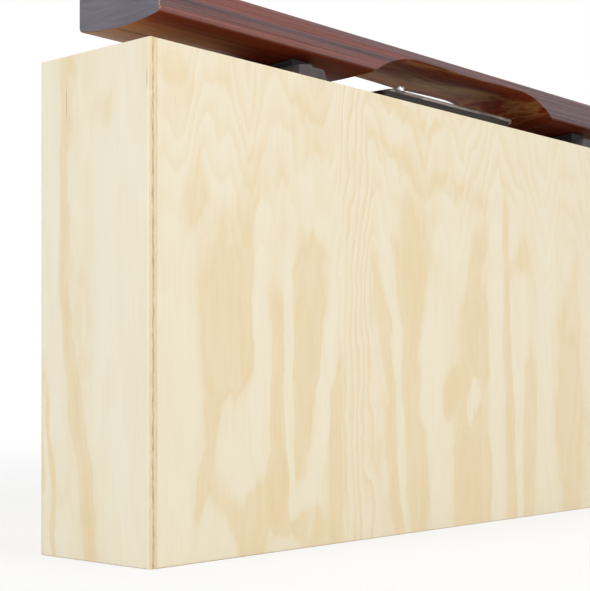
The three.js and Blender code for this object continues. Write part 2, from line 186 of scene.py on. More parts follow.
# Rotary-cut pine plywood, sanded, clear matt lacquer. To the eye: pale cream early wood with
# peach patches of late wood like flames along the grain, thin wavy ring lines where the veneer
# cuts them steeply, fine fibres and a faint satin sheen. The edges show the plies, brown where
# their end grain is cut.
def plywood(name, order, outer, patches, hills=(), steeps=(), crowns=(), lined=(), cracks=(),
            seed=0.0, pale=0xEDE4CC):
    """order: the axes across the grain, along it and through the sheet; outer: the outer face, mm.

    patches: peach spots, or cream ones where the amount is below zero. The ring lines are the
    contours of a height made of hills, steeps (from, to, lean, rings) and crowns (from, to, rings),
    and show inside the lined spots. seed: how far this sheet lies in the noise from the front one.
    """
    made, tree, shader = surface(name, Roughness=0.5)
    place, (across, along, through) = millimetres(tree, order)
    veneer = add(tree, "ShaderNodeCombineXYZ", {0: across, 1: along, 2: seed})
    wavy_x = swayed(tree, veneer, across, (34, 75, 40), 22.0, (2, 5, 1))
    wavy_z = swayed(tree, veneer, along, (26, 90, 40), 60.0, (8, 1, 4))

    # Peach patches, darkest just inside their outline
    broad = speckle(tree, veneer, (38, 150, 60), detail=4, rough=0.6)
    start = add(tree, "ShaderNodeMath", {0: broad, 1: 2.4, 2: -1.95}, operation="MULTIPLY_ADD")
    cloudy = speckle(tree, veneer, (15, 34, 30), detail=3, rough=0.6, offset=(4, 4, 9))
    start = add(tree, "ShaderNodeMath", {0: cloudy, 1: 1.0, 2: start}, operation="MULTIPLY_ADD")
    field = spots(tree, wavy_x, wavy_z, patches, start)
    field = add(tree, "ShaderNodeMapRange", {0: field, 1: -1.25, 2: 1.25})
    patch = add(tree, "ShaderNodeValToRGB", {0: field}, ramp=[
        (0.0, 0.02), (0.34, 0.1), (0.48, 0.3), (0.6, 0.6), (0.68, 0.82), (0.8, 0.66), (1.0, 0.86)])

    # Ring lines
    fine = speckle(tree, veneer, (24, 90, 30), detail=2, offset=(3, 1, 7))
    folds = speckle(tree, veneer, (44, 210, 60), detail=2, offset=(6, 3, 2))
    height = add(tree, "ShaderNodeMath", {0: folds, 1: 4.5}, operation="MULTIPLY")
    height = add(tree, "ShaderNodeMath", {0: fine, 1: 1.2, 2: height}, operation="MULTIPLY_ADD")
    height = spots(tree, wavy_x, wavy_z, hills, height)
    climbs = []
    for low, high, lean, rings in steeps:
        slanted = add(tree, "ShaderNodeMath", {0: wavy_z, 1: lean, 2: wavy_x}, operation="MULTIPLY_ADD")
        climbs.append((slanted, low, high, rings))
    climbs += [(wavy_z, *crown) for crown in crowns]
    for axis, low, high, rings in climbs:
        rise = add(tree, "ShaderNodeMapRange", {0: axis, 1: low, 2: high, 4: rings})
        height = add(tree, "ShaderNodeMath", {0: rise, 1: height}, operation="ADD")
    ring = add(tree, "ShaderNodeMath", {0: height}, operation="FRACT")
    line = add(tree, "ShaderNodeValToRGB", {0: ring}, ramp=[
        (0.0, 0.1), (0.3, 0.18), (0.6, 0.46), (0.8, 0.64), (0.92, 0.45), (1.0, 0.1)])
    ringed = spots(tree, wavy_x, wavy_z, lined, 0.22)
    if lined:
        ringed = add(tree, "ShaderNodeMath", {0: ringed, 1: 1.0}, operation="MINIMUM")
    share = add(tree, "ShaderNodeMix", {"Factor": ringed, "A": patch, "B": line}, data_type="FLOAT")
    late_wood, crack_brown = linear(0xE5CD9F), linear(0x9A7548)
    face = blend(tree, share, linear(pale), late_wood)

    # Fibres, drawn coarser than the real 0.05 mm so that they show
    fibre = speckle(tree, veneer, (1.6, 70, 5), detail=3, rough=0.6)
    shade = add(tree, "ShaderNodeMapRange", {0: fibre, 1: 0.3, 2: 0.7, 3: 0.978, 4: 1.016})
    face = add(tree, "ShaderNodeVectorMath", {0: face, 1: shade}, operation="MULTIPLY")
    if cracks:
        split = spots(tree, across, along, cracks, 0.0)
        face = blend(tree, split, face, crack_brown)

    # Plies on the edges: a crossed one 2.5 to 4 mm deep, and so on through a thicker sheet. Their
    # glue lines waver by up to 0.9 mm, more than the real ones, so that they show.
    face_ply, ply_pair, glue_line, sway = 2.4, 4.0, 0.15, 1.8
    normal = facing(tree)
    lengthwise, outwards = [add(tree, "ShaderNodeMath", {0: normal[axis]}, operation="ABSOLUTE")
                            for axis in order[1:]]
    on_edge = add(tree, "ShaderNodeMapRange", {0: outwards, 1: 0.86, 2: 0.8})
    depth = add(tree, "ShaderNodeMath", {0: through, 1: outer}, operation="SUBTRACT")
    depth = add(tree, "ShaderNodeMath", {0: depth}, operation="ABSOLUTE")
    waver = speckle(tree, place, (40, 55, 40), detail=2)
    depth = add(tree, "ShaderNodeMath", {0: waver, 1: sway, 2: depth}, operation="MULTIPLY_ADD")
    depth = add(tree, "ShaderNodeMath", {0: depth, 1: -sway / 2}, operation="ADD")
    depth = add(tree, "ShaderNodeMath", {0: depth, 1: 0.0}, operation="MAXIMUM")
    turn = add(tree, "ShaderNodeMath", {0: depth, 1: ply_pair}, operation="FLOORED_MODULO")
    crossed = add(tree, "ShaderNodeMapRange", {0: turn, 1: face_ply, 2: face_ply + glue_line})
    on_end = add(tree, "ShaderNodeMapRange", {0: lengthwise, 1: 0.5, 2: 0.7})
    swapped = add(tree, "ShaderNodeMath", {0: crossed, 1: on_end}, operation="SUBTRACT")
    cut_fibre = add(tree, "ShaderNodeMath", {0: swapped}, operation="ABSOLUTE")
    dashes = speckle(tree, place, (5, 9, 0.5), detail=3, rough=0.7)
    cut_tone = add(tree, "ShaderNodeValToRGB", {0: dashes},
                   ramp=[(0.36, 0xA98A66), (0.46, 0xC9AD86), (0.6, 0xE2CEA9)])
    long_tone = add(tree, "ShaderNodeValToRGB", {0: dashes}, ramp=[(0.3, 0xE0C599), (0.6, 0xEAD8B5)])
    edge = blend(tree, cut_fibre, long_tone, cut_tone)
    colour = blend(tree, on_edge, face, edge)
    feed(tree, shader, Base_Color=colour)

    gloss = add(tree, "ShaderNodeMapRange", {0: fibre, 3: 0.44, 4: 0.58})
    feed(tree, shader, Roughness=gloss)
    height = add(tree, "ShaderNodeMath", {0: share, 1: 0.4, 2: fibre}, operation="MULTIPLY_ADD")
    relief(tree, shader, height, 0.06 * MM)
    return made


# Planed pine, bare. To the eye: straight yellow-brown ring lines along the strip, matt, with the
# rings as curved bands where it is cut across.
def pine(name, order):
    """order: the axes along the strip and across it."""
    made, tree, shader = surface(name, Roughness=0.65)
    place, _ = millimetres(tree, order)
    waver = speckle(tree, place, (180, 30, 30), detail=2)
    ring_place = add(tree, "ShaderNodeMapping", {"Vector": place, "Scale": (0.0008, 0.16, 0.07)})
    ring_place = add(tree, "ShaderNodeVectorMath", {0: ring_place, 1: waver}, operation="ADD")
    rings = add(tree, "ShaderNodeTexWave",
                {"Vector": ring_place, "Scale": 0.55, "Distortion": 0.6, "Detail": 1.0},
                wave_type="BANDS", bands_direction="Y", wave_profile="SAW")
    fibre = speckle(tree, place, (60, 0.8, 0.8), detail=3)
    tone = add(tree, "ShaderNodeMath", {0: fibre, 1: 0.35, 2: rings.outputs[1]}, operation="MULTIPLY_ADD")
    colour = add(tree, "ShaderNodeValToRGB", {0: tone},
                 ramp=[(0.1, 0xF0DDB4), (0.6, 0xE6CB97), (1.0, 0xCFA468)])
    feed(tree, shader, Base_Color=colour)
    relief(tree, shader, fibre, 0.08 * MM)
    return made


# Rosewood bar, planed and oiled to a satin, its arch left from the saw and rasp. To the eye:
# sides whose dusty purple-grey is the red-brown wood under a painted sheen, greyer towards the
# right end, streaked with red-brown and near-black lines along the bar, open pores, even grey end
# grain, and a darker, browner underside, with painted light near the left end.
def rosewood():
    made, tree, shader = surface("rosewood_oiled_satin", Roughness=0.45, Specular_IOR_Level=0.08)
    place, (along, across, up) = millimetres(tree)
    roof_from, roof_to = 390.0, 395.0
    lengthwise, _, upwards = facing(tree)
    lengthwise = add(tree, "ShaderNodeMath", {0: lengthwise}, operation="ABSOLUTE")
    on_end = add(tree, "ShaderNodeMapRange", {0: lengthwise, 1: 0.72, 2: 0.92})
    below = add(tree, "ShaderNodeMapRange", {0: upwards, 1: -0.35, 2: -0.75})
    above_belly = add(tree, "ShaderNodeMapRange", {0: up, 1: roof_from, 2: roof_to})
    on_arch = add(tree, "ShaderNodeMath", {0: below, 1: above_belly}, operation="MULTIPLY")

    # Growth layers lie nearly flat in the bar, so a side shows them as long streaks
    broad = speckle(tree, place, (520, 60, 9), detail=3, rough=0.55, distort=0.3)
    streak = speckle(tree, place, (340, 26, 2.6), detail=4, rough=0.6, offset=(5, 2, 8))
    lines = speckle(tree, place, (420, 9, 0.9), detail=4, rough=0.65, offset=(1, 7, 3))
    pores = speckle(tree, place, (9, 0.9, 0.7), detail=2, rough=0.7)
    # The sides' colours are the wood's red-brown greyed by a painted sheen.
    side = add(tree, "ShaderNodeValToRGB", {0: broad}, ramp=[
        (0.30, 0x6D5C5F), (0.44, 0x7D6261), (0.53, 0x905E58), (0.62, 0x80605C), (0.74, 0x695A5C)])
    # Painted sheen: the side turns greyer towards the right end of the bar.
    painted_sheen = add(tree, "ShaderNodeMapRange", {0: along, 1: 30.0, 2: 130.0, 4: 0.75})
    side = blend(tree, painted_sheen, side, linear(0x74676A))
    under = add(tree, "ShaderNodeValToRGB", {0: broad},
                ramp=[(0.30, 0x5C2410), (0.5, 0x742E14), (0.72, 0x541D0B)])
    arch = add(tree, "ShaderNodeValToRGB", {0: broad}, ramp=[
        (0.28, 0x66240C), (0.42, 0x78290E), (0.5, 0x95633B), (0.56, 0x763819), (0.66, 0x70250D),
        (0.75, 0x541B08)])

    # Painted light: a paler wedge in the underside where light from the left end falls, whole at the left
    # end and gone 262 mm left of the middle
    end_light_from, end_light_to, end_light_front, end_light_back = -312.0, -262.0, -35.0, -6.0
    painted_end_light = add(tree, "ShaderNodeMapRange", {0: along, 1: end_light_from, 2: end_light_to, 3: 0.8, 4: 0.0})
    far_side = add(tree, "ShaderNodeMapRange", {0: across, 1: end_light_front, 2: end_light_back})
    painted_end_light = add(tree, "ShaderNodeMath", {0: painted_end_light, 1: far_side}, operation="MULTIPLY")
    under = blend(tree, painted_end_light, under, linear(0xAE7D52))

    # Olive figure in the arch, ragged along the streaks
    olive = spots(tree, across, along, [(5, 25, 15, 48, -0.1, 1.1), (20, -74, 13, 44, 0.0, 0.8)], 0.0)
    ragged = add(tree, "ShaderNodeMapRange", {0: streak, 1: 0.4, 2: 0.56})
    olive = add(tree, "ShaderNodeMath", {0: olive, 1: ragged}, operation="MULTIPLY")
    arch = blend(tree, olive, arch, linear(0xB28A62))

    # Side, underside and arch together, shaded by streaks, dark lines and open pores
    wood = side
    for share, other in ((below, under), (on_arch, arch)):
        wood = blend(tree, share, wood, other)
    shade = add(tree, "ShaderNodeMapRange", {0: streak, 1: 0.3, 2: 0.7, 3: 0.78, 4: 1.16})
    wood = add(tree, "ShaderNodeVectorMath", {0: wood, 1: shade}, operation="MULTIPLY")
    thin = add(tree, "ShaderNodeMapRange", {0: lines, 1: 0.38, 2: 0.48, 3: 0.58, 4: 1.02})
    wood = add(tree, "ShaderNodeVectorMath", {0: wood, 1: thin}, operation="MULTIPLY")
    pored = add(tree, "ShaderNodeMapRange", {0: pores, 1: 0.3, 2: 0.4, 3: 0.7, 4: 1.0})
    wood = add(tree, "ShaderNodeVectorMath", {0: wood, 1: pored}, operation="MULTIPLY")

    # End grain: fine even dots, with the growth layers as faint curved bands
    bands = speckle(tree, place, (30, 40, 5), detail=2, distort=0.5)
    dots = speckle(tree, place, (1, 0.7, 0.7), detail=2)
    grain = add(tree, "ShaderNodeMath", {0: dots, 1: 0.35, 2: bands}, operation="MULTIPLY_ADD")
    end = add(tree, "ShaderNodeValToRGB", {0: grain},
              ramp=[(0.4, 0x66636B), (0.68, 0x706D76), (0.9, 0x79757E)])
    colour = blend(tree, on_end, wood, end)

    # Pale chips along the ends' upright edges, where the bar has been knocked
    chips = speckle(tree, place, (1.6, 1.6, 2.2), detail=3, rough=0.7)
    for axis, edge in ((along, 386.5), (across, 42.0)):
        off = add(tree, "ShaderNodeMath", {0: axis}, operation="ABSOLUTE")
        near_edge = add(tree, "ShaderNodeMapRange",
                        {0: off, 1: edge - 1.5, 2: edge + 2, 3: 0.3, 4: 1.0})
        chips = add(tree, "ShaderNodeMath", {0: chips, 1: near_edge}, operation="MULTIPLY")
    chipped = add(tree, "ShaderNodeMapRange", {0: chips, 1: 0.43, 2: 0.5, 4: 0.75})
    colour = blend(tree, chipped, colour, linear(0xB7A292))
    feed(tree, shader, Base_Color=colour)

    # Saw and rasp marks cross the arch
    marks = speckle(tree, place, (1.3, 60, 60), detail=2, rough=0.7)
    cut_relief = add(tree, "ShaderNodeMath", {0: marks, 1: on_arch}, operation="MULTIPLY")
    height = add(tree, "ShaderNodeMath", {0: cut_relief, 1: 1.5, 2: pored}, operation="MULTIPLY_ADD")
    relief(tree, shader, height, 0.07 * MM)
    gloss = add(tree, "ShaderNodeMapRange", {0: streak, 3: 0.36, 4: 0.5})
    gloss = add(tree, "ShaderNodeMath", {0: on_arch, 1: 0.22, 2: gloss}, operation="MULTIPLY_ADD")
    feed(tree, shader, Roughness=gloss)
    return made


# Moulded rubber, matt. To the eye: an even mid or dark grey with a very fine pebble and a
# faint dusty bloom in patches.
def moulded_rubber(name, colour, bloom, rough=0.7):
    made, tree, shader = surface(name, Roughness=rough, Specular_IOR_Level=0.25)
    place, _ = millimetres(tree)
    cloud = speckle(tree, place, (14, 14, 14), detail=3)
    tone = add(tree, "ShaderNodeValToRGB", {0: cloud}, ramp=[(0.35, colour), (0.7, bloom)])
    feed(tree, shader, Base_Color=tone)
    pebble = speckle(tree, place, (0.5, 0.5, 0.5), detail=2)
    relief(tree, shader, pebble, 0.08 * MM)
    return made


# Pressed wool felt, near black. To the eye: no shine, short crossing fibres, a soft pale fuzz
# at grazing angles.
def wool_felt():
    made, tree, shader = surface("wool_felt_black", Roughness=0.95, Sheen_Weight=0.35, Sheen_Roughness=0.5)
    place, _ = millimetres(tree)
    hair = speckle(tree, place, (2.5, 0.35, 0.35), detail=4, rough=0.7, distort=1.2)
    cross = speckle(tree, place, (0.35, 2.5, 0.35), detail=4, rough=0.7, distort=1.2)
    tangle = add(tree, "ShaderNodeMath", {0: hair, 1: cross}, operation="MAXIMUM")
    tone = add(tree, "ShaderNodeValToRGB", {0: tangle}, ramp=[(0.4, 0x121011), (0.75, 0x2C2A2B)])
    feed(tree, shader, Base_Color=tone)
    relief(tree, shader, tangle, 0.4 * MM)
    return made


# Moulded polypropylene with a fine spark-eroded grain. To the eye: a warm brown-black, soft
# highlights, faint clouds.
def moulded_plastic():
    made, tree, shader = surface("polypropylene_black", Roughness=0.48, Specular_IOR_Level=0.28)
    place, _ = millimetres(tree)
    cloud = speckle(tree, place, (30, 30, 12), detail=3)
    tone = add(tree, "ShaderNodeValToRGB", {0: cloud}, ramp=[(0.35, 0x241C17), (0.7, 0x2D241D)])
    feed(tree, shader, Base_Color=tone)
    grain = speckle(tree, place, (0.6, 0.6, 0.6), detail=3, rough=0.6)
    gloss = add(tree, "ShaderNodeMapRange", {0: grain, 3: 0.42, 4: 0.56})
    feed(tree, shader, Roughness=gloss)
    relief(tree, shader, grain, 0.06 * MM)
    return made


# Cast acrylic sheet with flame-softened edges. To the eye: clear, fine rubbing marks along the way
# it slides, and edges that blur what lies behind them to an even pale band, tinted warm grey by
# painted shade.
def acrylic():
    made, tree, shader = surface("cast_acrylic_clear", Roughness=0.04, IOR=1.49, Transmission_Weight=1.0)
    place, _ = millimetres(tree)
    rub = speckle(tree, place, (40, 0.5, 4), detail=3, rough=0.7)
    tone = add(tree, "ShaderNodeValToRGB", {0: rub}, ramp=[(0.3, 0xE9F1F1), (0.7, 0xF6FAFA)])
    gloss = add(tree, "ShaderNodeMapRange", {0: rub, 1: 0.45, 2: 0.8, 3: 0.03, 4: 0.16})
    upwards = add(tree, "ShaderNodeMath", {0: facing(tree)[2]}, operation="ABSOLUTE")
    on_edge = add(tree, "ShaderNodeMapRange", {0: upwards, 1: 0.9, 2: 0.5})
    # Painted shade: a warm grey tint on the edges.
    colour = blend(tree, on_edge, tone, linear(0xD2C2B2))
    feed(tree, shader, Base_Color=colour)
    gloss = add(tree, "ShaderNodeMath", {0: on_edge, 1: 0.4, 2: gloss}, operation="MULTIPLY_ADD")
    feed(tree, shader, Roughness=gloss)
    return made


# Turned metal: zinc-plated steel or free-cutting brass. To the eye: bright, with fine rings from
# the lathe and a slightly cloudy plating.
def turned_metal(name, colour, cloud_colour, rough):
    made, tree, shader = surface(name, Metallic=1.0, Roughness=rough)
    place, _ = millimetres(tree)
    cloud = speckle(tree, place, (3, 3, 3), detail=3)
    tone = add(tree, "ShaderNodeValToRGB", {0: cloud}, ramp=[(0.35, colour), (0.75, cloud_colour)])
    feed(tree, shader, Base_Color=tone)
    rings = speckle(tree, place, (9, 9, 0.25), detail=2)
    gloss = add(tree, "ShaderNodeMapRange", {0: cloud, 3: rough - 0.06, 4: rough + 0.08})
    feed(tree, shader, Roughness=gloss)
    relief(tree, shader, rings, 0.04 * MM)
    return made


# Veneer of the panels. A spot or hill: place across the grain and along it, half width, half
# length, lean, amount.
FRONT, BACK, LEFT, RIGHT, DECK_TOP, BOTTOM = -61.0, 61.0, -413.0, 413.0, 365.0, 0.0
front_patches = [
    (-338, 172, 30, 80, 0.0, 1.2), (-285, 105, 10, 92, 0.0, 1.3), (-250, 150, 19, 95, 0.12, 1.2),
    (-212, 70, 10, 80, 0.0, 1.2), (-290, 15, 62, 45, 0.0, 1.1), (-366, 35, 7, 60, 0.25, 1.1),
    (-388, 110, 17, 210, 0.0, -1.0), (-322, 88, 26, 28, 0.0, -1.6), (-302, 170, 7, 110, 0.0, -1.3),
    (-269, 140, 6, 120, 0.0, -1.3), (-256, 44, 20, 14, 0.0, -1.6), (-228, 120, 9, 110, 0.2, -1.4),
    (-352, 12, 20, 24, 0.0, -2.0), (-278, 3, 18, 15, 0.0, -1.8),
    (-152, 170, 7, 75, -0.22, 1.2), (-138, 45, 9, 60, -0.2, 1.3), (-133, 120, 7, 150, -0.13, -1.0),
    (-111, 130, 15, 190, 0.0, 1.2), (-84, 140, 20, 60, -0.1, -1.5), (-72, 50, 17, 90, -0.05, -1.3),
    (-62, 122, 17, 20, 0.0, 2.1), (-20, 168, 23, 50, 0.0, 1.4), (-22, 42, 42, 66, 0.0, 1.3),
    (-24, 108, 9, 20, 0.3, -1.6), (14, 150, 10, 210, -0.02, -1.5), (33, 190, 6, 120, -0.04, 1.3),
    (40, 50, 8, 70, -0.05, 0.9), (51, 180, 16, 48, 0.0, -1.4), (50, 236, 14, 26, 0.2, 1.0),
    (70, 70, 12, 90, 0.0, 1.3), (55, 60, 6, 90, 0.0, -0.9), (100, 200, 14, 150, 0.0, -0.8),
    (-120, 228, 26, 48, 0.0, 0.9), (-62, 250, 20, 24, 0.0, -1.1), (-16, 242, 12, 34, 0.25, 0.8),
    (-86, 305, 42, 17, -3.9, 1.5), (-112, 352, 36, 12, -3.9, 1.3), (-388, 340, 14, 24, 0.0, 1.3),
    (-370, 258, 12, 36, 0.35, 0.9), (-306, 282, 13, 22, 0.0, 1.1), (-232, 264, 26, 24, 0.0, -1.2),
    (-345, 300, 16, 30, 0.0, -1.2), (-250, 335, 20, 26, 0.0, 0.9), (-40, 330, 16, 26, 0.3, -1.2),
    (150, 90, 26, 120, 0.0, 1.0), (215, 160, 18, 190, 0.0, -1.0), (262, 60, 24, 130, 0.0, 1.2),
    (330, 150, 20, 120, 0.1, 1.1), (300, 150, 10, 160, 0.05, -1.0), (385, 60, 18, 160, 0.0, 0.9),
]
front_hills = [
    (-350, 340, 26, 400, 0.0, 1.7), (-287, 350, 24, 400, 0.0, 1.9), (-185, 340, 46, 400, 0.0, 2.0),
    (25, 300, 50, 400, 0.0, 3.0), (140, 260, 34, 400, 0.0, 2.2), (260, 260, 50, 400, 0.0, 2.4),
    (370, 260, 40, 400, 0.0, 2.2),
]
front_lined = [
    (-300, 330, 150, 72, 0.0, 0.38), (-184, 150, 21, 330, -0.03, 0.8), (-60, 322, 120, 48, 0.0, 0.36),
    (250, 330, 240, 55, 0.0, 0.36),
]
front_ply = plywood("pine_plywood_front", (0, 2, 1), FRONT, front_patches, front_hills,
                    [(-207, -163, 0.03, 6.0)], [(215, 380, -4.4)], front_lined)
back_ply = plywood("pine_plywood_back", (0, 2, 1), BACK, [
    (-340, 90, 34, 150, 0.05, 1.2), (-265, 180, 14, 160, 0.0, 1.1), (-150, 60, 40, 110, 0.0, 1.2),
    (-60, 150, 16, 170, -0.04, 1.2), (40, 90, 30, 130, 0.0, 1.2), (150, 200, 20, 130, 0.1, 1.1),
    (235, 60, 34, 100, 0.0, 1.2), (330, 150, 24, 150, -0.05, 1.2), (-300, 160, 12, 200, 0.0, -1.2),
    (0, 120, 12, 200, 0.02, -1.2), (190, 110, 12, 160, 0.0, -1.1), (285, 130, 10, 190, 0.0, -1.0),
], [(-250, 300, 60, 400, 0.0, 2.6), (-20, 320, 50, 400, 0.0, 2.2), (260, 300, 60, 400, 0.0, 2.8)],
    [(80, 118, -0.03, 5.0)], [(230, 380, -4.0)],
    [(-160, 335, 260, 60, 0.0, 1.0), (97, 150, 19, 330, 0.03, 1.0), (260, 335, 160, 60, 0.0, 1.0)],
    seed=410.0)
# The left end's cream is a touch paler than the other panels': painted light from the left.
left_ply = plywood("pine_plywood_left", (1, 2, 0), LEFT, [
    (26, 335, 8, 42, 0.0, 0.7), (31, 245, 4.5, 85, 0.0, 1.1), (23, 130, 5, 66, 0.12, 1.2),
    (6, 20, 7, 62, 0.12, 1.3), (46, 60, 3.2, 75, 0.12, 1.2), (58, 40, 2.5, 60, 0.0, 1.0),
    (-12, 322, 9, 12, 0.0, 0.6), (-34, 170, 26, 230, 0.0, -0.8), (48, 230, 10, 120, 0.0, -0.6),
], cracks=[(28.6, 330, 0.22, 14, 0.02, 1.0), (-57.6, 337, 0.25, 8, 0.0, 0.8)],
    seed=820.0, pale=0xEDE7D2)
right_ply = plywood("pine_plywood_right", (1, 2, 0), RIGHT, [
    (-30, 120, 14, 150, 0.04, 1.2), (8, 230, 12, 120, 0.0, 1.1), (36, 80, 10, 120, -0.05, 1.2),
    (-8, 140, 8, 170, 0.0, -1.0),
], seed=1230.0)
deck_ply = plywood("pine_plywood_deck", (1, 0, 2), DECK_TOP, [
    (-30, -300, 12, 110, 0.0, 1.2), (10, -180, 16, 150, 0.03, 1.1), (-14, 190, 14, 160, 0.0, 1.2),
    (34, 300, 12, 130, 0.0, 1.2), (30, -60, 10, 200, 0.0, 0.9),
], seed=1640.0)
bottom_ply = plywood("pine_plywood_bottom", (1, 0, 2), BOTTOM, [
    (-26, -220, 14, 160, 0.0, 1.2), (22, -60, 12, 180, 0.02, 1.2), (-20, 160, 16, 150, 0.0, 1.2),
    (30, 300, 12, 120, 0.0, 1.1),
], seed=2050.0)
pine_upright = pine("planed_pine_upright", (2, 0, 1))
pine_lengthwise = pine("planed_pine_lengthwise", (0, 1, 2))
pine_across = pine("planed_pine_across", (1, 2, 0))
bar_wood = rosewood()
grey_rubber = moulded_rubber("moulded_rubber_grey", 0x524B4E, 0x5C5555)
black_rubber = moulded_rubber("rubber_tube_black", 0x1F1F20, 0x2B2A2A, rough=0.55)
felt = wool_felt()
black_plastic = moulded_plastic()
clear_acrylic = acrylic()
zinc_steel = turned_metal("zinc_plated_steel", 0xDCDEDE, 0xCED0D2, 0.46)
brass = turned_metal("turned_brass", 0xD2AE62, 0xC49B4D, 0.24)


# Meshes

def new_object(name, mesh):
    made = bpy.data.objects.new(name, mesh)
    bpy.context.scene.collection.objects.link(made)
    return made


def plain(made, smooth_below=32):
    """Turns an object's modifiers into its mesh, smooth except along its corners."""
    for modifier in made.modifiers:
        modifier.show_viewport = True
    graph = bpy.context.evaluated_depsgraph_get()
    mesh = bpy.data.meshes.new_from_object(made.evaluated_get(graph))
    made.modifiers.clear()
    made.data = mesh
    mesh.polygons.foreach_set("use_smooth", [True] * len(mesh.polygons))
    mesh.set_sharp_from_angle(angle=math.radians(smooth_below))
    return made


def finished(made, material, body, slot, *stands_for):
    """Dresses a piece, ties it to its body and hides the CAD nodes it stands for. The slot is not used."""
    made.data.materials.clear()
    made.data.materials.append(material)
    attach(made, body)
    if stands_for:
        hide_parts(*stands_for)
    return made


def merged_copy(name, node):
    """A CAD node's mesh as an object of its own, with its loose triangles joined into faces."""
    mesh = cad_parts[node].data.copy()
    shape = bmesh.new()
    shape.from_mesh(mesh)
    bmesh.ops.remove_doubles(shape, verts=shape.verts, dist=1e-6)
    bmesh.ops.dissolve_limit(shape, angle_limit=math.radians(0.6), verts=shape.verts, edges=shape.edges)
    shape.to_mesh(mesh)
    shape.free()
    return new_object(name, mesh)


def ease(made, width, segments=2, above=30):
    """Rounds a piece's corners that are sharper than an angle."""
    bevel = made.modifiers.new("eased corners", "BEVEL")
    bevel.width = width
    bevel.segments = segments
    bevel.limit_method = "ANGLE"
    bevel.angle_limit = math.radians(above)
    return made


def eased_copy(node, width, material, slot, body="resonator", segments=2):
    made = ease(merged_copy(node + "_eased", node), width, segments)
    return finished(plain(made), material, body, slot, node)


def round_node(node):
    """Where an upright round CAD node stands: its axis x and y, its radius, its foot and its top."""
    low, high = corners(node)
    return (low.x + high.x) / 2, (low.y + high.y) / 2, (high.x - low.x) / 2, low.z, high.z


def turned(name, profile, x, y):
    """A turned piece about an upright axis. profile: radius and height from its foot to its head."""
    steps = 64
    shape = bmesh.new()
    rows = []
    for radius, z in profile:
        if radius == 0:
            rows.append([shape.verts.new((x, y, z))])
        else:
            rows.append([shape.verts.new((x + radius * math.cos(math.tau * step / steps),
                                          y + radius * math.sin(math.tau * step / steps), z))
                         for step in range(steps)])
    for lower, upper in zip(rows, rows[1:]):
        for step in range(steps):
            after = (step + 1) % steps
            ring = [lower[step % len(lower)], lower[after % len(lower)],
                    upper[after % len(upper)], upper[step % len(upper)]]
            shape.faces.new(list(dict.fromkeys(ring)))
    bmesh.ops.recalc_face_normals(shape, faces=shape.faces)
    mesh = bpy.data.meshes.new(name)
    shape.to_mesh(mesh)
    shape.free()
    return new_object(name, mesh)


def cut(made, *tools):
    """Takes other solids away from a piece, once its modifiers are applied."""
    for tool in tools:
        boolean = made.modifiers.new("cut", "BOOLEAN")
        boolean.operation = "DIFFERENCE"
        boolean.solver = "EXACT"
        boolean.object = tool
    return made


def discard(*tools):
    for tool in tools:
        bpy.data.objects.remove(tool)


# Plywood box: a fine groove shows where two panels meet
for node, material in [("front_panel", front_ply), ("back_panel", back_ply), ("left_end_panel", left_ply),
                       ("right_end_panel", right_ply), ("deck", deck_ply), ("bottom_panel", bottom_ply)]:
    eased_copy(node, 0.3 * MM, material, "plywood")

# Pine glue blocks, strips and bearers inside it
for end in ("left", "right"):
    for side in ("front", "back"):
        eased_copy(f"{side}_{end}_corner_post", 0.8 * MM, pine_upright, "pine")
    eased_copy(f"{end}_bearer", 0.8 * MM, pine_across, "pine")
for side in ("front", "back"):
    for stretch in ("left", "middle", "right"):
        eased_copy(f"{side}_{stretch}_deck_cleat", 0.8 * MM, pine_lengthwise, "pine")
    eased_copy(f"{side}_bottom_cleat", 0.8 * MM, pine_lengthwise, "pine")

# Moulded supports, collar and the clear plate
for end in ("left", "right"):
    eased_copy(f"{end}_support", 0.7 * MM, grey_rubber, "grey_rubber", segments=3)
eased_copy("mouth_collar", 0.5 * MM, black_plastic, "black_plastic", segments=3)
eased_copy("tuning_plate", 0.3 * MM, clear_acrylic, "clear_acrylic", body="slider")


# Felt pads: cut from thick felt, slightly swollen above their seats, with a hairy surface
def felt_pad(end):
    node = f"{end}_felt_pad"
    voxel, hair_height, tuft_height, most_swell = 0.7 * MM, 0.07 * MM, 0.06 * MM, 0.22 * MM
    hairs_per_metre, tufts_per_metre, rim = 900, 300, 0.9
    made = merged_copy(f"{end}_felt_pad_pressed", node)
    remesh = made.modifiers.new("felt", "REMESH")
    remesh.mode = "VOXEL"
    remesh.voxel_size = voxel
    soften = made.modifiers.new("soft corners", "SMOOTH")
    soften.factor = 0.5
    soften.iterations = 4
    plain(made, smooth_below=180)
    low, high = corners(node)
    middle = (low + high) / 2
    for vertex in made.data.vertices:
        place = vertex.co
        hair = noise.noise(place * hairs_per_metre) * hair_height
        hair += noise.noise(place * tufts_per_metre) * tuft_height
        share = (place.z - low.z) / (high.z - low.z)
        swell = most_swell * math.sin(math.pi * min(max(share, 0), 1))
        away = Vector((math.copysign(1, place.x - middle.x), math.copysign(1, place.y - middle.y), 0))
        near_side = max(abs(place.x - middle.x) / (high.x - middle.x),
                        abs(place.y - middle.y) / (high.y - middle.y))
        place += vertex.normal * hair
        if near_side > rim:
            flat = Vector((vertex.normal.x, vertex.normal.y, 0))
            place += flat * swell * (1 if flat.dot(away) > 0 else 0)
    finished(made, felt, "resonator", "felt", node)


